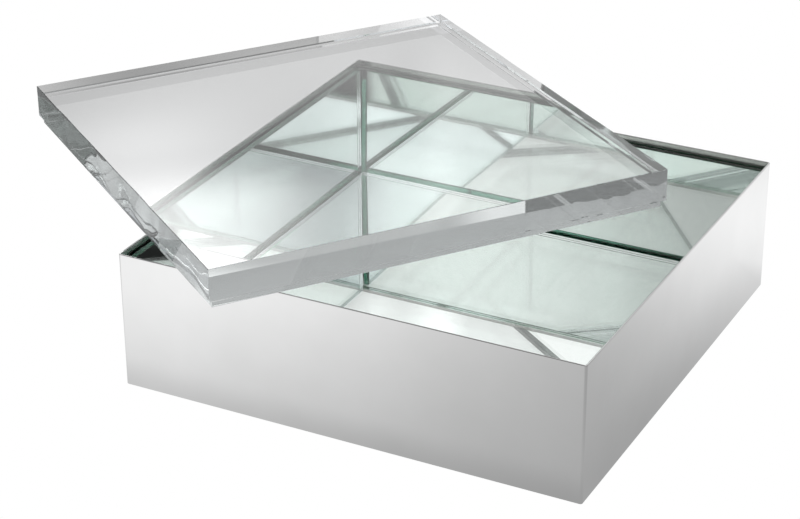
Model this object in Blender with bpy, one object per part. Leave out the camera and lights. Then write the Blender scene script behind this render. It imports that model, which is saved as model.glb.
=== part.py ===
"""Square keepsake box: a folded band of mirror-polished steel lined with mirror
glass, and a loose lid cut from one thick slab of clear crystal glass.

Metres, +Z up. The origin is the centre of the box on the table top that it
stands on. +X runs along the front wall, +Y goes into the box, and the box is
square. The lid is a loose piece: here it lies turned and pushed to the back
left, with the step under it resting on the steel rim.
"""

import math

import bmesh
import bpy
from mathutils import Vector

# ---------------------------------------------------------------- dimensions
BOX = 0.2850            # outside of the steel band, both ways
RIM_Z = 0.0840          # top of the steel rim above the table
WALL_FOOT = 0.0005      # bottom of the steel band above the table
STEEL = 0.0010          # thickness of the band's sheet
BEND_OUT = 0.0015       # outside radius of the band's folded corners

FELT_T = 0.0015         # felt sheet under the case
FELT_EDGE = 0.0030      # felt sheet set in from the outside of the steel
PLATE_Z = 0.0018        # underside of the steel floor plate
PLATE_T = 0.0012        # thickness of the steel floor plate
PLATE_GAP = 0.0003      # floor plate to the inside of the band

TAPE_T_WALL = 0.0006    # mounting tape behind the wall panes
TAPE_T_FLOOR = 0.0008   # mounting tape under the floor pane
TAPE_W = 0.0180         # width of a strip of tape
TAPE_L = 0.2300         # length of a strip of tape

GLASS_T = 0.0040        # thickness of the mirror glass
GLASS_BACK = 0.0020     # silvered face of a wall pane, in from the outside
GLASS_TOP = 0.0793      # top edge of the wall panes above the table
RIGHT_TOP = 0.0768      # the right pane is cut a little lower
FLOOR_GLASS_TOP = 0.0083    # upper surface of the floor pane
PANE_GAP = 0.0012       # hand-fitted gap at the upright corners
FLOOR_GAP = 0.0013      # the same round the floor pane
BACK_FOOT = 0.0026      # silvered face of the back pane at its foot
BACK_LEAN = math.radians(0.75)  # the back pane leans back against the steel
GROUND_EDGE = 0.0003    # seamed edge of the mirror glass

LID = 0.2875            # outside of the lid slab, both ways
LID_T = 0.0200          # thickness of the slab
STEP_IN = 0.0026        # step under the slab, set in from its edge
STEP_H = 0.0045         # how far the step drops into the box
LID_GAP = 0.0003        # step to the steel rim it lies on
LID_POLISH = 0.0004     # polished chamfer along the lid's edges

LID_X = -0.0911         # centre of the lid from the centre of the box
LID_Y = 0.0226
LID_TURN = math.radians(-36.4)

HALF = BOX / 2


# ------------------------------------------------------------------- helpers
def clear_scene():
    for obj in list(bpy.data.objects):
        bpy.data.objects.remove(obj, do_unlink=True)


def material(name, colour, roughness, metallic=0.0, transmission=0.0, ior=1.5):
    mat = bpy.data.materials.get(name) or bpy.data.materials.new(name)
    mat.use_nodes = True
    shader = mat.node_tree.nodes["Principled BSDF"]
    shader.inputs["Base Color"].default_value = (*colour, 1.0)
    shader.inputs["Roughness"].default_value = roughness
    shader.inputs["Metallic"].default_value = metallic
    shader.inputs["Transmission Weight"].default_value = transmission
    shader.inputs["IOR"].default_value = ior
    mat.diffuse_color = (*colour, 1.0)
    return mat


def finish(bm, name, mat, location=(0.0, 0.0, 0.0), turn=0.0, lean=0.0, parent=None):
    bmesh.ops.recalc_face_normals(bm, faces=bm.faces)
    mesh = bpy.data.meshes.new(name)
    bm.to_mesh(mesh)
    bm.free()
    mesh.materials.append(mat)
    obj = bpy.data.objects.new(name, mesh)
    obj.location = location
    obj.rotation_euler = (-lean, 0.0, turn)
    bpy.context.scene.collection.objects.link(obj)
    if parent is not None:
        obj.parent = parent
    return obj


def box_mesh(size_x, size_y, size_z):
    """A box standing on z = 0, centred on the Z axis."""
    bm = bmesh.new()
    bmesh.ops.create_cube(bm, size=1.0)
    bmesh.ops.scale(bm, vec=Vector((size_x, size_y, size_z)), verts=bm.verts)
    bmesh.ops.translate(bm, vec=Vector((0.0, 0.0, size_z / 2)), verts=bm.verts)
    return bm


def rounded_square(side, radius, segments):
    """One flat square face on z = 0 with rounded corners."""
    bm = bmesh.new()
    h = side / 2
    corners = [bm.verts.new((x, y, 0.0)) for x, y in ((-h, -h), (h, -h), (h, h), (-h, h))]
    bm.faces.new(corners)
    bmesh.ops.bevel(bm, geom=list(bm.verts), offset=radius, offset_type='OFFSET',
                    segments=segments, profile=0.5, affect='VERTICES')
    return bm


def plate(name, mat, size_x, size_y, size_z, location, chamfer=0.0, parent=None):
    """A flat rectangular plate whose underside centre is at the location."""
    bm = box_mesh(size_x, size_y, size_z)
    if chamfer > 0.0:
        bmesh.ops.bevel(bm, geom=list(bm.edges), offset=chamfer, offset_type='OFFSET',
                        segments=1, profile=0.5, affect='EDGES')
    return finish(bm, name, mat, location=location, parent=parent)


# -------------------------------------------------------------------- pieces
def case_walls(mat, parent):
    """The strip of sheet, folded round four corners and welded end to end."""
    bm = rounded_square(BOX, BEND_OUT, 4)
    face = bm.faces[:][0]
    bmesh.ops.inset_region(bm, faces=[face], thickness=STEEL, use_boundary=True, use_even_offset=True)
    inner = [f for f in bm.faces if all(max(abs(v.co.x), abs(v.co.y)) < HALF - STEEL / 2 for v in f.verts)]
    bmesh.ops.delete(bm, geom=inner, context='FACES')
    ring = list(bm.faces)
    raised = bmesh.ops.extrude_face_region(bm, geom=ring)
    top = [g for g in raised["geom"] if isinstance(g, bmesh.types.BMVert)]
    bmesh.ops.translate(bm, vec=Vector((0.0, 0.0, RIM_Z - WALL_FOOT)), verts=top)
    return finish(bm, "case_walls", mat, location=(0.0, 0.0, WALL_FOOT), parent=parent)


def case_floor(mat, parent):
    """The plate inside the foot of the band."""
    side = BOX - 2 * (STEEL + PLATE_GAP)
    bm = rounded_square(side, BEND_OUT - STEEL, 2)
    raised = bmesh.ops.extrude_face_region(bm, geom=list(bm.faces))
    top = [g for g in raised["geom"] if isinstance(g, bmesh.types.BMVert)]
    bmesh.ops.translate(bm, vec=Vector((0.0, 0.0, PLATE_T)), verts=top)
    return finish(bm, "case_floor", mat, location=(0.0, 0.0, PLATE_Z), parent=parent)


def wall_pane(name, mat, length, centre_x, centre_y, turn, foot_z, parent, top=GLASS_TOP, lean=0.0):
    """A mirror pane that stands on its long edge, silver side outward.

    Its own +Y looks away from the room inside the box."""
    height = top - foot_z
    bm = box_mesh(length, GLASS_T, height)
    bmesh.ops.bevel(bm, geom=list(bm.edges), offset=GROUND_EDGE, offset_type='OFFSET',
                    segments=1, profile=0.5, affect='EDGES')
    return finish(bm, name, mat, location=(centre_x, centre_y, foot_z), turn=turn, lean=lean, parent=parent)


def tape_strip(name, mat, centre_x, centre_y, centre_z, turn, parent, thickness=TAPE_T_WALL, lean=0.0):
    """A strip of mounting tape standing on its edge between steel and glass."""
    bm = box_mesh(TAPE_L, thickness, TAPE_W)
    bmesh.ops.translate(bm, vec=Vector((0.0, 0.0, -TAPE_W / 2)), verts=bm.verts)
    return finish(bm, name, mat, location=(centre_x, centre_y, centre_z),
                  turn=turn, lean=lean, parent=parent)


def lid_slab(mat, parent):
    """The slab with the shallow step ground round its underside.

    The piece's own origin is at the centre of the step's underside."""
    bm = box_mesh(LID, LID, LID_T)
    bmesh.ops.translate(bm, vec=Vector((0.0, 0.0, STEP_H)), verts=bm.verts)
    bm.faces.ensure_lookup_table()
    under = min(bm.faces, key=lambda f: f.calc_center_median().z)
    bmesh.ops.inset_region(bm, faces=[under], thickness=STEP_IN, use_even_offset=True)
    under = [f for f in bm.faces
             if abs(f.calc_center_median().z - STEP_H) < 1e-6
             and all(max(abs(v.co.x), abs(v.co.y)) < LID / 2 - STEP_IN / 2 for v in f.verts)]
    lowered = bmesh.ops.extrude_face_region(bm, geom=under)
    foot = [g for g in lowered["geom"] if isinstance(g, bmesh.types.BMVert)]
    bmesh.ops.translate(bm, vec=Vector((0.0, 0.0, -STEP_H)), verts=foot)
    bmesh.ops.delete(bm, geom=under, context='FACES')
    bmesh.ops.recalc_face_normals(bm, faces=bm.faces)
    outer = [e for e in bm.edges if e.is_convex and e.calc_face_angle(0.0) > math.radians(30)]
    bmesh.ops.bevel(bm, geom=outer, offset=LID_POLISH, offset_type='OFFSET',
                    segments=1, profile=0.5, affect='EDGES')
    return finish(bm, "lid", mat, parent=parent)


def build():
    clear_scene()

    steel = material("polished_steel", (0.80, 0.80, 0.81), 0.08, metallic=1.0)
    plate_steel = material("mill_steel", (0.55, 0.55, 0.56), 0.35, metallic=1.0)
    mirror = material("mirror_glass", (0.78, 0.86, 0.82), 0.03, metallic=1.0)
    crystal = material("clear_crystal", (0.97, 0.99, 0.98), 0.01, transmission=1.0, ior=1.51)
    tape = material("mounting_tape", (0.82, 0.82, 0.80), 0.85)
    felt = material("base_felt", (0.05, 0.05, 0.055), 0.95)

    box_root = bpy.data.objects.new("box_centre", None)
    bpy.context.scene.collection.objects.link(box_root)

    # Case: felt, floor plate, folded band.
    felt_side = BOX - 2 * FELT_EDGE
    plate("base_felt", felt, felt_side, felt_side, FELT_T, (0.0, 0.0, 0.0), parent=box_root)
    case_floor(plate_steel, box_root)
    case_walls(steel, box_root)

    # Floor pane on three strips of tape.
    plate_top = PLATE_Z + PLATE_T
    floor_foot = FLOOR_GLASS_TOP - GLASS_T
    tape_z = (plate_top + floor_foot) / 2 - TAPE_T_FLOOR / 2
    inside = HALF - GLASS_BACK - GLASS_T          # room side of the wall panes
    inside_back = HALF - BACK_FOOT - GLASS_T
    floor_x = 2 * (inside - FLOOR_GAP)
    floor_y = inside + inside_back - 2 * FLOOR_GAP
    for label, y in (("front", -0.085), ("middle", 0.0), ("back", 0.085)):
        plate("tape_floor_" + label, tape, TAPE_L, TAPE_W, TAPE_T_FLOOR, (0.0, y, tape_z), parent=box_root)
    middle_y = (inside_back - inside) / 2
    plate("mirror_floor", mirror, floor_x, floor_y, GLASS_T, (0.0, middle_y, floor_foot),
          chamfer=GROUND_EDGE, parent=box_root)

    # Wall panes: front and back run the full width, left and right fit between.
    pane_mid = HALF - GLASS_BACK - GLASS_T / 2
    long_pane = 2 * (HALF - GLASS_BACK)
    short_pane = inside + inside_back - 2 * PANE_GAP
    wall_foot = plate_top + 0.0003
    wall_pane("mirror_back", mirror, long_pane, 0.0, inside_back + GLASS_T / 2, 0.0, wall_foot, box_root,
              lean=BACK_LEAN)
    wall_pane("mirror_front", mirror, long_pane, 0.0, -pane_mid, math.pi, wall_foot, box_root)
    wall_pane("mirror_right", mirror, short_pane, pane_mid, middle_y, -math.pi / 2, wall_foot, box_root,
              top=RIGHT_TOP)
    wall_pane("mirror_left", mirror, short_pane, -pane_mid, middle_y, math.pi / 2, wall_foot, box_root)

    # Two strips of tape behind each wall pane. Behind the leaning back pane the
    # low strip is thicker than the high one.
    tape_mid = HALF - (STEEL + GLASS_BACK) / 2
    for level, z, thickness in (("low", 0.022, 0.0009), ("high", 0.052, 0.0005)):
        silver_y = HALF - BACK_FOOT + math.tan(BACK_LEAN) * (z - wall_foot)
        tape_strip("tape_back_" + level, tape, 0.0, (silver_y + HALF - STEEL) / 2, z, 0.0, box_root,
                   thickness=thickness, lean=BACK_LEAN / 2)
    for level, z in (("low", 0.022), ("high", 0.060)):
        tape_strip("tape_front_" + level, tape, 0.0, -tape_mid, z, math.pi, box_root)
        tape_strip("tape_right_" + level, tape, tape_mid, 0.0, z, -math.pi / 2, box_root)
        tape_strip("tape_left_" + level, tape, -tape_mid, 0.0, z, math.pi / 2, box_root)

    # Lid: it lifts straight up about an upright line through its own centre.
    lid_seat = bpy.data.objects.new("lid_centre", None)
    lid_seat.location = (LID_X, LID_Y, RIM_Z + LID_GAP)
    lid_seat.rotation_euler = (0.0, 0.0, LID_TURN)
    bpy.context.scene.collection.objects.link(lid_seat)
    lid_slab(crystal, lid_seat)

    bpy.context.view_layer.update()


build()
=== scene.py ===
import math

import bmesh
import bpy
from mathutils import Matrix, Vector, noise


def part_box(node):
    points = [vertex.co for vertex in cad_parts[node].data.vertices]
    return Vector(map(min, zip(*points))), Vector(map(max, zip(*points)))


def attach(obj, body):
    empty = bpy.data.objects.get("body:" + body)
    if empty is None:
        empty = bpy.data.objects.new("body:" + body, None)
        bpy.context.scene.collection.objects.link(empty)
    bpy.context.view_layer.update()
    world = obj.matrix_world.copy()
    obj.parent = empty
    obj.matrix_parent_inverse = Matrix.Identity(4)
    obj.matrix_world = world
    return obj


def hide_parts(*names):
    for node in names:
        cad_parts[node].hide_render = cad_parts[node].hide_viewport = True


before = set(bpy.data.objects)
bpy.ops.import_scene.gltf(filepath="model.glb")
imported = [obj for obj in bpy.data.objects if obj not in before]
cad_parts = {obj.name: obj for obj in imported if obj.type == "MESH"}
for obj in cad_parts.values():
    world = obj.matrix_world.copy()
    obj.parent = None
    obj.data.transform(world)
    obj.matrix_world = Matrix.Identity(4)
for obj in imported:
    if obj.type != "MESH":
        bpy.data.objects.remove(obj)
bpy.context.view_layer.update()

# ------------------------------------------------------------------ dimensions
# Repeated from the construction, in metres: origin at the centre of the box on
# the table top, +Z up, +Y into the box.
BOX, RIM_Z, FOOT_Z = 0.2850, 0.0840, 0.0005
STEEL, BEND = 0.0010, 0.0015
GLASS_T, GLASS_BACK, GLASS_TOP, RIGHT_TOP = 0.0040, 0.0020, 0.0793, 0.0768
WALL_PANE_FOOT, FLOOR_TOP, PANE_GAP, FLOOR_GAP = 0.0033, 0.0083, 0.0012, 0.0013
BACK_FOOT, BACK_LEAN = 0.0026, math.radians(0.75)
LID, LID_T, STEP_IN, STEP_H, LID_GAP = 0.2875, 0.0200, 0.0026, 0.0045, 0.0003
LID_AT = (-0.0911, 0.0226, RIM_Z + LID_GAP)
LID_TURN = math.radians(-36.4)
WAVE_SCALE, WAVE_DEPTH, WAVE_CUTS = 34.0, 0.0008, 159     # the lid's hand-polished sides
HALF = BOX / 2


# --------------------------------------------------------------------- helpers
def place(bm, name, materials, smooth_angle=None):
    bmesh.ops.recalc_face_normals(bm, faces=bm.faces)
    mesh = bpy.data.meshes.new(name)
    if smooth_angle is not None:
        # Rounded edges are shaded smooth; the flats between them stay flat.
        for face in bm.faces:
            face.smooth = True
        for edge in bm.edges:
            if len(edge.link_faces) == 2:
                a, b = (min(e.calc_length() for e in f.edges) for f in edge.link_faces)
                edge.smooth = (edge.calc_face_angle(0.0) < math.radians(smooth_angle)
                               and min(a, b) > 0.3 * max(a, b))
    bm.to_mesh(mesh)
    bm.free()
    for mat in materials:
        mesh.materials.append(mat)
    obj = bpy.data.objects.new(name, mesh)
    bpy.context.scene.collection.objects.link(obj)
    return obj


def box_mesh(x0, x1, y0, y1, z0, z1):
    bm = bmesh.new()
    bmesh.ops.create_cube(bm, size=1.0)
    bmesh.ops.scale(bm, vec=Vector((x1 - x0, y1 - y0, z1 - z0)), verts=bm.verts)
    bmesh.ops.translate(bm, vec=Vector(((x0 + x1) / 2, (y0 + y1) / 2, (z0 + z1) / 2)), verts=bm.verts)
    return bm


class Nodes:
    """A small helper to lay out the nodes of a material, or of the world."""

    def __init__(self, name, world=False):
        self.mat = bpy.data.worlds.new(name) if world else bpy.data.materials.new(name)
        self.mat.use_nodes = True
        self.tree = self.mat.node_tree
        self.tree.nodes.clear()
        self.out = self.add("ShaderNodeOutputWorld" if world else "ShaderNodeOutputMaterial")

    def add(self, kind, **values):
        node = self.tree.nodes.new(kind)
        for key, value in values.items():
            if key in node.inputs:
                node.inputs[key].default_value = value
            else:
                setattr(node, key, value)
        return node

    def link(self, a, b):
        self.tree.links.new(a, b)

    def coords(self):
        return self.add("ShaderNodeTexCoord").outputs["Object"]

    def noise(self, vector, scale, detail=3.0, rough=0.5, stretch=None):
        if stretch is not None:
            mapping = self.add("ShaderNodeMapping")
            mapping.inputs["Scale"].default_value = stretch
            self.link(vector, mapping.inputs["Vector"])
            vector = mapping.outputs["Vector"]
        node = self.add("ShaderNodeTexNoise")
        node.inputs["Scale"].default_value = scale
        node.inputs["Detail"].default_value = detail
        node.inputs["Roughness"].default_value = rough
        self.link(vector, node.inputs["Vector"])
        return node.outputs["Fac"]

    def math(self, operation, *values):
        node = self.add("ShaderNodeMath", operation=operation)
        for socket, value in zip(node.inputs, values):
            if isinstance(value, (int, float)):
                socket.default_value = value
            else:
                self.link(value, socket)
        return node.outputs[0]

    def ramp(self, value, low, high, to_low, to_high, smooth=False):
        node = self.add("ShaderNodeMapRange")
        if smooth:
            node.interpolation_type = 'SMOOTHSTEP'
        node.inputs["From Min"].default_value = low
        node.inputs["From Max"].default_value = high
        node.inputs["To Min"].default_value = to_low
        node.inputs["To Max"].default_value = to_high
        self.link(value, node.inputs["Value"])
        return node.outputs["Result"]

    def colours(self, value, stops):
        node = self.add("ShaderNodeValToRGB")
        ramp = node.color_ramp
        while len(ramp.elements) < len(stops):
            ramp.elements.new(0.5)
        for element, (at, colour) in zip(ramp.elements, stops):
            element.position = at
            element.color = (*colour, 1.0)
        self.link(value, node.inputs["Fac"])
        return node.outputs["Color"]

    def bump(self, height, strength, distance, normal=None):
        node = self.add("ShaderNodeBump")
        node.inputs["Strength"].default_value = strength
        node.inputs["Distance"].default_value = distance
        self.link(height, node.inputs["Height"])
        if normal is not None:
            self.link(normal, node.inputs["Normal"])
        return node.outputs["Normal"]


# ------------------------------------------------------------------- materials
def steel_polished():
    n = Nodes("steel_polished")
    shader = n.add("ShaderNodeBsdfPrincipled")
    shader.inputs["Metallic"].default_value = 1.0
    at = n.coords()
    # Faint cloudiness left by the polishing mop, and hairlines along the sheet.
    cloud = n.noise(at, 22.0, 3.0, 0.55)
    hair = n.noise(at, 60.0, 2.0, 0.6, stretch=(1.0, 1.0, 45.0))
    n.link(n.colours(cloud, ((0.30, (0.640, 0.638, 0.634)), (0.72, (0.672, 0.670, 0.667)))),
           shader.inputs["Base Color"])
    n.link(n.ramp(cloud, 0.3, 0.75, 0.030, 0.055), shader.inputs["Roughness"])
    wave = n.noise(at, 9.0, 1.0, 0.4)
    soft = n.bump(wave, 0.10, 0.0006)
    n.link(n.bump(hair, 0.02, 0.00003, soft), shader.inputs["Normal"])
    n.link(shader.outputs[0], n.out.inputs["Surface"])
    return n.mat


def steel_inside():
    """The inside of the sheet: the mill's own dull finish, faintly streaked."""
    n = Nodes("steel_inside")
    shader = n.add("ShaderNodeBsdfPrincipled")
    shader.inputs["Metallic"].default_value = 1.0
    at = n.coords()
    streak = n.noise(at, 40.0, 3.0, 0.6, stretch=(1.0, 1.0, 30.0))
    cloud = n.noise(at, 30.0, 3.0, 0.55)
    n.link(n.colours(cloud, ((0.30, (0.580, 0.562, 0.548)), (0.72, (0.640, 0.622, 0.606)))),
           shader.inputs["Base Color"])
    n.link(n.ramp(streak, 0.3, 0.7, 0.16, 0.28), shader.inputs["Roughness"])
    n.link(n.bump(streak, 0.10, 0.00005), shader.inputs["Normal"])
    n.link(shader.outputs[0], n.out.inputs["Surface"])
    return n.mat


def steel_mill():
    n = Nodes("steel_mill_finish")
    shader = n.add("ShaderNodeBsdfPrincipled")
    shader.inputs["Metallic"].default_value = 1.0
    at = n.coords()
    grain = n.noise(at, 90.0, 4.0, 0.6, stretch=(0.6, 14.0, 1.0))
    blotch = n.noise(at, 14.0, 3.0, 0.5)
    n.link(n.colours(blotch, ((0.3, (0.46, 0.46, 0.47)), (0.7, (0.54, 0.54, 0.545)))),
           shader.inputs["Base Color"])
    n.link(n.ramp(grain, 0.25, 0.75, 0.28, 0.42), shader.inputs["Roughness"])
    n.link(n.bump(grain, 0.25, 0.0002), shader.inputs["Normal"])
    n.link(shader.outputs[0], n.out.inputs["Surface"])
    return n.mat


def glass(name, ior, absorb, density, rough=0.0, grind=None, wave=(16.0, 0.012, 0.0002)):
    """Clear or ground glass with its own colour inside. wave is the scale,
    strength and depth of the slow waviness that polishing leaves in a face."""
    n = Nodes(name)
    shader = n.add("ShaderNodeBsdfPrincipled")
    shader.inputs["Base Color"].default_value = (1.0, 1.0, 1.0, 1.0)
    shader.inputs["Transmission Weight"].default_value = 1.0
    shader.inputs["IOR"].default_value = ior
    shader.inputs["Roughness"].default_value = rough
    at = n.coords()
    if grind is not None:
        grit = n.noise(at, 900.0, 3.0, 0.6)
        n.link(n.ramp(grit, 0.3, 0.7, grind[0], grind[1]), shader.inputs["Roughness"])
        n.link(n.bump(grit, 0.15, 0.00005), shader.inputs["Normal"])
    else:
        n.link(n.bump(n.noise(at, wave[0], 1.5, 0.4), wave[1], wave[2]), shader.inputs["Normal"])
    n.link(shader.outputs[0], n.out.inputs["Surface"])
    inside = n.add("ShaderNodeVolumeAbsorption")
    inside.inputs["Color"].default_value = (*absorb, 1.0)
    inside.inputs["Density"].default_value = density
    n.link(inside.outputs[0], n.out.inputs["Volume"])
    return n.mat


def silvering():
    n = Nodes("mirror_silvering")
    shader = n.add("ShaderNodeBsdfPrincipled")
    shader.inputs["Metallic"].default_value = 1.0
    at = n.coords()
    speck = n.noise(at, 240.0, 3.0, 0.6)
    n.link(n.colours(speck, ((0.30, (0.885, 0.905, 0.890)), (0.70, (0.915, 0.930, 0.918)))),
           shader.inputs["Base Color"])
    n.link(n.ramp(speck, 0.3, 0.7, 0.0, 0.012), shader.inputs["Roughness"])
    n.link(shader.outputs[0], n.out.inputs["Surface"])
    return n.mat


def foam_tape():
    n = Nodes("foam_tape")
    shader = n.add("ShaderNodeBsdfPrincipled")
    at = n.coords()
    cell = n.noise(at, 1200.0, 3.0, 0.6)
    n.link(n.colours(cell, ((0.3, (0.66, 0.66, 0.63)), (0.7, (0.84, 0.84, 0.82)))), shader.inputs["Base Color"])
    n.link(n.ramp(cell, 0.3, 0.7, 0.7, 0.9), shader.inputs["Roughness"])
    n.link(n.bump(cell, 0.4, 0.0002), shader.inputs["Normal"])
    n.link(shader.outputs[0], n.out.inputs["Surface"])
    return n.mat


def felt():
    n = Nodes("pressed_felt")
    shader = n.add("ShaderNodeBsdfPrincipled")
    at = n.coords()
    fibre = n.noise(at, 700.0, 5.0, 0.75, stretch=(1.0, 1.0, 0.5))
    clump = n.noise(at, 60.0, 3.0, 0.6)
    mix = n.add("ShaderNodeMath", operation="MULTIPLY")
    n.link(fibre, mix.inputs[0])
    n.link(clump, mix.inputs[1])
    n.link(n.colours(mix.outputs[0], ((0.10, (0.020, 0.020, 0.022)), (0.45, (0.075, 0.075, 0.080)))),
           shader.inputs["Base Color"])
    shader.inputs["Roughness"].default_value = 0.95
    shader.inputs["Sheen Weight"].default_value = 0.6
    shader.inputs["Sheen Roughness"].default_value = 0.5
    n.link(n.bump(fibre, 0.8, 0.0006), shader.inputs["Normal"])
    n.link(shader.outputs[0], n.out.inputs["Surface"])
    return n.mat


STEEL_POLISHED = steel_polished()
STEEL_INSIDE = steel_inside()
STEEL_MILL = steel_mill()
PANE_CLEAR = glass("mirror_pane_glass", 1.52, (0.58, 0.94, 0.86), 8.0)
PANE_EDGE = glass("mirror_pane_seamed_edge", 1.52, (0.58, 0.94, 0.86), 8.0, grind=(0.03, 0.08))
SILVER = silvering()
CRYSTAL = glass("lid_crystal_glass", 1.50, (0.48, 0.54, 0.535), 2.0)
TAPE = foam_tape()
FELT = felt()


# ---------------------------------------------------------------------- pieces
def rounded_loop(half, radius, steps):
    """Points of a square outline with rounded corners, counter-clockwise."""
    points = []
    for k, (sx, sy) in enumerate(((1, 1), (-1, 1), (-1, -1), (1, -1))):
        cx, cy = sx * (half - radius), sy * (half - radius)
        for i in range(steps + 1):
            a = math.pi / 2 * (k + i / steps)
            points.append((cx + radius * math.cos(a), cy + radius * math.sin(a)))
    return points


def steel_band():
    """The folded band: the sheet's section is swept round the square. Its raw
    edges are lightly broken, as sheet is before it is polished."""
    edge, steps = 0.00042, 10
    section = []      # (inset from the outside, height), outside face first
    arc = 6
    for i in range(arc):
        a = math.pi / 2 * i / (arc - 1)
        section.append((edge - edge * math.cos(a), RIM_Z - edge + edge * math.sin(a)))
    for i in range(arc):
        a = math.pi / 2 * (1 - i / (arc - 1))
        section.append((STEEL - edge + edge * math.cos(a), RIM_Z - edge + edge * math.sin(a)))
    for i in range(arc):
        a = math.pi / 2 * i / (arc - 1)
        section.append((STEEL - edge + edge * math.cos(a), FOOT_Z + edge - edge * math.sin(a)))
    for i in range(arc):
        a = math.pi / 2 * (1 - i / (arc - 1))
        section.append((edge - edge * math.cos(a), FOOT_Z + edge - edge * math.sin(a)))
    bm = bmesh.new()
    rings = []
    for inset, z in section:
        rings.append([bm.verts.new((x, y, z)) for x, y in rounded_loop(HALF - inset, BEND - inset, steps)])
    count = len(rings[0])
    for j in range(len(rings)):
        a, b = rings[j], rings[(j + 1) % len(rings)]
        for i in range(count):
            k = (i + 1) % count
            face = bm.faces.new((a[i], a[k], b[k], b[i]))
            if j == 2 * arc - 1:       # the inside, left as it came from the mill
                face.material_index = 1
    obj = place(bm, "steel_band", [STEEL_POLISHED, STEEL_INSIDE], smooth_angle=35)
    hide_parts("case_walls")
    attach(obj, "box")
    return obj


def pane(name, node, low, high, back, lean=0.0):
    """A pane of mirror glass. back is the outward normal of its silvered face.
    Its edges are cut square and lightly seamed. It leans back about its foot."""
    bm = box_mesh(low[0], high[0], low[1], high[1], low[2], high[2])
    bmesh.ops.bevel(bm, geom=list(bm.edges), offset=0.0003, offset_type='OFFSET',
                    segments=1, profile=0.5, affect='EDGES')
    bmesh.ops.recalc_face_normals(bm, faces=bm.faces)
    back = Vector(back)
    for face in bm.faces:
        face.normal_update()
        d = face.normal.dot(back)
        face.material_index = 1 if d > 0.99 else (0 if d < -0.99 else 2)
    if lean:
        foot = Vector((0.0, (low[1] + high[1]) / 2, low[2]))
        bmesh.ops.rotate(bm, cent=foot, matrix=Matrix.Rotation(-lean, 3, 'X'), verts=bm.verts)
    obj = place(bm, name, [PANE_CLEAR, SILVER, PANE_EDGE])
    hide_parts(node)
    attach(obj, "box")
    return obj


def panes():
    b, t = HALF - GLASS_BACK, GLASS_T
    i = b - t                      # room side of the wall panes
    k = HALF - BACK_FOOT           # silvered face of the back pane at its foot
    f, m = -i + PANE_GAP, k - t - PANE_GAP
    z0, z1 = WALL_PANE_FOOT, GLASS_TOP
    pane("mirror_pane_back", "mirror_back", (-b, k - t, z0), (b, k, z1), (0, 1, 0), lean=BACK_LEAN)
    pane("mirror_pane_front", "mirror_front", (-b, -b, z0), (b, -i, z1), (0, -1, 0))
    pane("mirror_pane_right", "mirror_right", (i, f, z0), (b, m, RIGHT_TOP), (1, 0, 0))
    pane("mirror_pane_left", "mirror_left", (-b, f, z0), (-i, m, z1), (-1, 0, 0))
    pane("mirror_pane_floor", "mirror_floor", (-i + FLOOR_GAP, -i + FLOOR_GAP, FLOOR_TOP - GLASS_T),
         (i - FLOOR_GAP, k - t - FLOOR_GAP, FLOOR_TOP), (0, 0, -1))


def hand_polish(bm, level):
    """Leaves the two sides at y = +-level with the slow hollows of polishing by
    hand. Points move only inwards along y, so the faces that they meet stay flat."""
    for sign in (-1.0, 1.0):
        def there(part):
            return all(sign * v.co.y > level - 0.0004 for v in part.verts)
        long = [e for e in bm.edges if there(e) and abs(e.verts[0].co.x - e.verts[1].co.x) > 0.2]
        bmesh.ops.subdivide_edges(bm, edges=long, cuts=WAVE_CUTS, use_grid_fill=True)
        upright = [e for e in bm.edges if there(e) and abs(e.verts[0].co.z - e.verts[1].co.z) > 0.01]
        bmesh.ops.subdivide_edges(bm, edges=upright, cuts=9, use_grid_fill=True)
        for f in bm.faces:
            if there(f):
                f.smooth = True
        for v in bm.verts:
            if -1e-5 < level - sign * v.co.y < 0.0004:
                at = Vector((v.co.x, sign * 0.05, v.co.z)) * WAVE_SCALE
                hollow = 0.5 + 0.5 * (noise.noise(at) + 0.12 * noise.noise(at * 2.0))
                v.co.y -= sign * WAVE_DEPTH * min(max(hollow, 0.0), 1.0)


def lid_crystal():
    """The slab, with the shallow step ground under it and its edges polished
    off in a narrow chamfer with softened arrises."""
    h = LID / 2 - 0.0001
    bm = box_mesh(-h, h, -h, h, STEP_H, STEP_H + LID_T)
    bm.faces.ensure_lookup_table()
    under = min(bm.faces, key=lambda f: f.calc_center_median().z)
    bmesh.ops.inset_region(bm, faces=[under], thickness=STEP_IN, use_even_offset=True)
    under = [f for f in bm.faces
             if abs(f.calc_center_median().z - STEP_H) < 1e-6
             and all(max(abs(v.co.x), abs(v.co.y)) < h - STEP_IN / 2 for v in f.verts)]
    lowered = bmesh.ops.extrude_face_region(bm, geom=under)
    foot = [v for v in lowered["geom"] if isinstance(v, bmesh.types.BMVert)]
    bmesh.ops.translate(bm, vec=Vector((0.0, 0.0, -STEP_H)), verts=foot)
    bmesh.ops.delete(bm, geom=[f for f in under if f.is_valid], context='FACES')
    bmesh.ops.recalc_face_normals(bm, faces=bm.faces)
    outer = [e for e in bm.edges if e.is_convex and e.calc_face_angle(0.0) > math.radians(30)]
    bmesh.ops.bevel(bm, geom=outer, offset=0.00025, offset_type='OFFSET',
                    segments=2, profile=0.35, affect='EDGES')
    hand_polish(bm, h)
    for edge in bm.edges:
        edge.smooth = (all(f.smooth for f in edge.link_faces)
                       and edge.calc_face_angle(0.0) < math.radians(12))
    bmesh.ops.transform(bm, matrix=Matrix.Translation(LID_AT) @ Matrix.Rotation(LID_TURN, 4, 'Z'), verts=bm.verts)
    obj = place(bm, "lid_crystal", [CRYSTAL])
    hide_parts("lid")
    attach(obj, "lid")
    return obj


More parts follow.
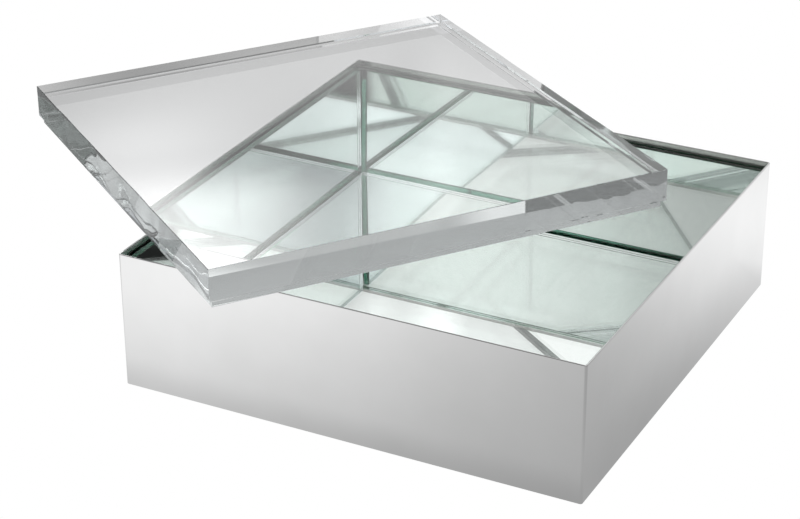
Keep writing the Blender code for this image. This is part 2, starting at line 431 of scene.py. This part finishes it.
def felt_pad():
    """The felt under the case, with a soft cut edge and a slightly uneven nap."""
    low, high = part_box("base_felt")
    bm = box_mesh(low[0], high[0], low[1], high[1], low[2], high[2])
    bmesh.ops.bevel(bm, geom=list(bm.edges), offset=0.0004, offset_type='OFFSET',
                    segments=3, profile=0.5, affect='EDGES')
    obj = place(bm, "felt_pad", [FELT], smooth_angle=50)
    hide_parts("base_felt")
    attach(obj, "box")
    return obj


def dress_nodes():
    for name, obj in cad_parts.items():
        if name.startswith("tape_"):
            mat = TAPE
        elif name == "case_floor":
            mat = STEEL_MILL
        else:
            continue
        obj.data.materials.clear()
        obj.data.materials.append(mat)


# ---------------------------------------------------------------------- camera
def camera():
    data = bpy.data.cameras.new("camera")
    data.sensor_width = 36.0
    data.sensor_fit = 'HORIZONTAL'
    data.lens = 102.087
    data.clip_start, data.clip_end = 0.05, 50.0
    cam = bpy.data.objects.new("camera", data)
    ahead = Vector((-0.41094, 0.79465, -0.44684)).normalized()
    right = ahead.cross(Vector((0, 0, 1))).normalized()
    up = right.cross(ahead)
    roll = math.radians(-0.218)
    right, up = right * math.cos(roll) + up * math.sin(roll), up * math.cos(roll) - right * math.sin(roll)
    m = Matrix((right, up, -ahead)).transposed().to_4x4()
    m.translation = Vector((0.52155, -1.08237, 0.64913))
    cam.matrix_world = m
    bpy.context.scene.collection.objects.link(cam)
    bpy.context.scene.camera = cam


# ---------------------------------------------------------------------- studio
# A light tent: soft panels of light round the inside of a dome. Heading of the
# centre (degrees clockwise from +Y), half width, softness of the sides, lowest
# and highest elevation, softness of those, strength, colour.
TENT = 1.5
PANELS = (
    (1.6, 29.0, 1.6, 22.0, 60.0, 2.5, 0.77, (1.00, 1.00, 1.00)),       # behind
    (331.5, 2.5, 1.2, 26.8, 45.0, 1.0, 0.42, (1.00, 1.00, 1.00)),
    (317.5, 15.0, 2.5, 20.5, 45.0, 3.0, 0.42, (1.00, 1.00, 1.00)),
    (312.0, 12.5, 6.5, 28.0, 40.0, 1.3, 2.60, (1.00, 1.00, 1.00)),     # the strong one, behind left
    (320.0, 12.0, 5.0, 22.0, 25.0, 1.0, 0.15, (1.00, 1.00, 1.00)),
    (310.0, 9.0, 3.5, 25.0, 28.0, 1.0, 0.38, (1.00, 1.00, 1.00)),
    (345.0, 42.0, 5.0, 2.0, 22.0, 3.0, 0.40, (1.00, 1.00, 1.00)),
    (149.0, 18.0, 5.0, 20.0, 45.0, 3.0, 0.66, (0.99, 1.00, 1.05)),     # in front
    (159.0, 6.0, 3.0, 20.0, 36.0, 3.0, 0.35, (0.99, 1.00, 1.05)),
    (146.0, 8.0, 3.0, 27.5, 45.0, 1.5, -0.25, (1.00, 1.00, 1.00)),     # dim patches in it
    (152.0, 3.5, 3.0, 26.5, 30.5, 1.5, -0.30, (1.00, 1.00, 1.00)),
    (211.0, 8.0, 8.0, 22.0, 37.0, 3.0, 0.55, (1.00, 1.00, 1.00)),      # at the left
    (208.0, 18.0, 4.0, 22.0, 40.0, 4.0, 0.25, (1.00, 1.00, 1.00)),
    (34.2, 3.4, 0.6, 23.0, 32.0, 2.0, -0.60, (1.00, 1.00, 1.00)),      # dim at the right
    (90.0, 22.0, 8.0, 15.0, 42.0, 5.0, -0.18, (1.00, 1.00, 1.00)),
    (240.0, 70.0, 20.0, 45.0, 130.0, 8.0, -0.20, (1.00, 1.00, 1.00)),  # dim overhead
    (15.0, 60.0, 20.0, 50.0, 130.0, 8.0, 0.30, (1.00, 1.00, 1.00)),
)
CLOTH = 0.28
# Painted pools of light on the board, which glow in its reflection: x, y, radius, strength (a negative strength
# paints shade).
POOLS = (
    (-0.192, -0.305, 0.165, 0.84),
    (0.178, 0.250, 0.130, 0.75),
    (-0.220, 0.330, 0.130, 0.08),
    (-0.285, 0.125, 0.055, 0.25),
    (-0.500, 0.110, 0.170, -0.10),
    (-0.330, 0.200, 0.070, 0.07),
    (-0.250, -0.035, 0.045, -0.28),
)
# Glow of the bare board; depth and width of the painted shade round the box's foot.
BOARD, FOOT_SHADE, FOOT_WIDTH = 0.51, 0.86, 0.034


def tent_material():
    n = Nodes("light_tent")
    toward = n.add("ShaderNodeVectorMath", operation='NORMALIZE')
    n.link(n.coords(), toward.inputs[0])
    toward = toward.outputs[0]
    up = n.add("ShaderNodeSeparateXYZ")
    n.link(toward, up.inputs[0])
    height = n.math("ARCSINE", up.outputs["Z"])
    total = None
    for centre, half, soft, low, high, fade, strength, colour in PANELS:
        turn = n.add("ShaderNodeVectorRotate", rotation_type='Z_AXIS')
        turn.inputs["Angle"].default_value = math.radians(centre)
        n.link(toward, turn.inputs["Vector"])
        part = n.add("ShaderNodeSeparateXYZ")
        n.link(turn.outputs[0], part.inputs[0])
        side = n.math("ABSOLUTE", n.math("ARCTAN2", part.outputs["X"], part.outputs["Y"]))
        shape = n.ramp(side, math.radians(half - soft), math.radians(half + soft), 1.0, 0.0, smooth=True)
        shape = n.math("MULTIPLY", shape, n.ramp(height, math.radians(low - fade), math.radians(low + fade), 0.0, 1.0, smooth=True))
        shape = n.math("MULTIPLY", shape, n.ramp(height, math.radians(high - fade), math.radians(high + fade), 1.0, 0.0, smooth=True))
        add = n.add("ShaderNodeVectorMath", operation='MULTIPLY_ADD')
        n.link(shape, add.inputs[0])
        add.inputs[1].default_value = [strength * c for c in colour]
        if total is None:
            add.inputs[2].default_value = (CLOTH, CLOTH, CLOTH)
        else:
            n.link(total, add.inputs[2])
        total = add.outputs[0]
    floor = n.add("ShaderNodeVectorMath", operation='MAXIMUM')
    n.link(total, floor.inputs[0])
    floor.inputs[1].default_value = (0.02, 0.02, 0.02)
    glow = n.add("ShaderNodeEmission")
    n.link(floor.outputs[0], glow.inputs["Color"])
    n.link(glow.outputs[0], n.out.inputs["Surface"])
    return n.mat


def light_tent():
    bm = bmesh.new()
    bmesh.ops.create_uvsphere(bm, u_segments=96, v_segments=48, radius=TENT)
    bmesh.ops.delete(bm, geom=[v for v in bm.verts if v.co.z < -0.001], context='VERTS')
    tent = place(bm, "light_tent", [tent_material()])
    tent.visible_camera = False        # the background is burnt out to white


def white_world():
    n = Nodes("studio_white", world=True)
    white = n.add("ShaderNodeBackground")
    white.inputs["Color"].default_value = (1.0, 1.0, 1.0, 1.0)
    n.link(white.outputs[0], n.out.inputs["Surface"])
    bpy.context.scene.world = n.mat


def floor_material():
    """Pale board, burnt out to white where the camera looks straight at it. Its
    reflection shows painted pools of light glowing on it, and a painted shade round the box's foot."""
    n = Nodes("studio_floor")
    at = n.coords()
    glow = None
    for x, y, radius, strength in POOLS:
        off = n.add("ShaderNodeVectorMath", operation='DISTANCE')
        n.link(at, off.inputs[0])
        off.inputs[1].default_value = (x, y, 0.0)
        d = off.outputs["Value"]
        pool = n.math("EXPONENT", n.math("MULTIPLY", n.math("MULTIPLY", d, d), -0.5 / radius ** 2))
        glow = n.math("MULTIPLY_ADD", pool, strength, BOARD if glow is None else glow)
    flat = n.add("ShaderNodeSeparateXYZ")
    n.link(at, flat.inputs[0])
    away = n.math("MAXIMUM", n.math("ABSOLUTE", flat.outputs["X"]), n.math("ABSOLUTE", flat.outputs["Y"]))
    # Painted shade round the box's foot: the board's glow is dimmed near the walls, not shadowed by them.
    shade = n.ramp(away, HALF, HALF + FOOT_WIDTH, FOOT_SHADE, 1.0, smooth=True)
    board = n.add("ShaderNodeEmission")
    board.inputs["Color"].default_value = (0.99, 0.995, 1.0, 1.0)
    n.link(n.math("MULTIPLY", glow, shade), board.inputs["Strength"])
    white = n.add("ShaderNodeEmission")
    white.inputs["Color"].default_value = (1.0, 1.0, 1.0, 1.0)
    mix = n.add("ShaderNodeMixShader")
    n.link(n.add("ShaderNodeLightPath").outputs["Is Camera Ray"], mix.inputs["Fac"])
    n.link(board.outputs[0], mix.inputs[1])
    n.link(white.outputs[0], mix.inputs[2])
    n.link(mix.outputs[0], n.out.inputs["Surface"])
    return n.mat


def studio():
    bm = bmesh.new()
    bmesh.ops.create_grid(bm, x_segments=24, y_segments=24, size=3.0)
    place(bm, "studio_floor", [floor_material()])
    light_tent()
    white_world()


# ----------------------------------------------------------------------- build
steel_band()
panes()
lid_crystal()
felt_pad()
dress_nodes()
camera()
studio()

scene = bpy.context.scene
scene.view_settings.view_transform = 'Standard'
scene.view_settings.look = 'None'
scene.cycles.max_bounces = 40
scene.cycles.glossy_bounces = 28
scene.cycles.transmission_bounces = 40
scene.cycles.diffuse_bounces = 3
scene.cycles.transparent_max_bounces = 16
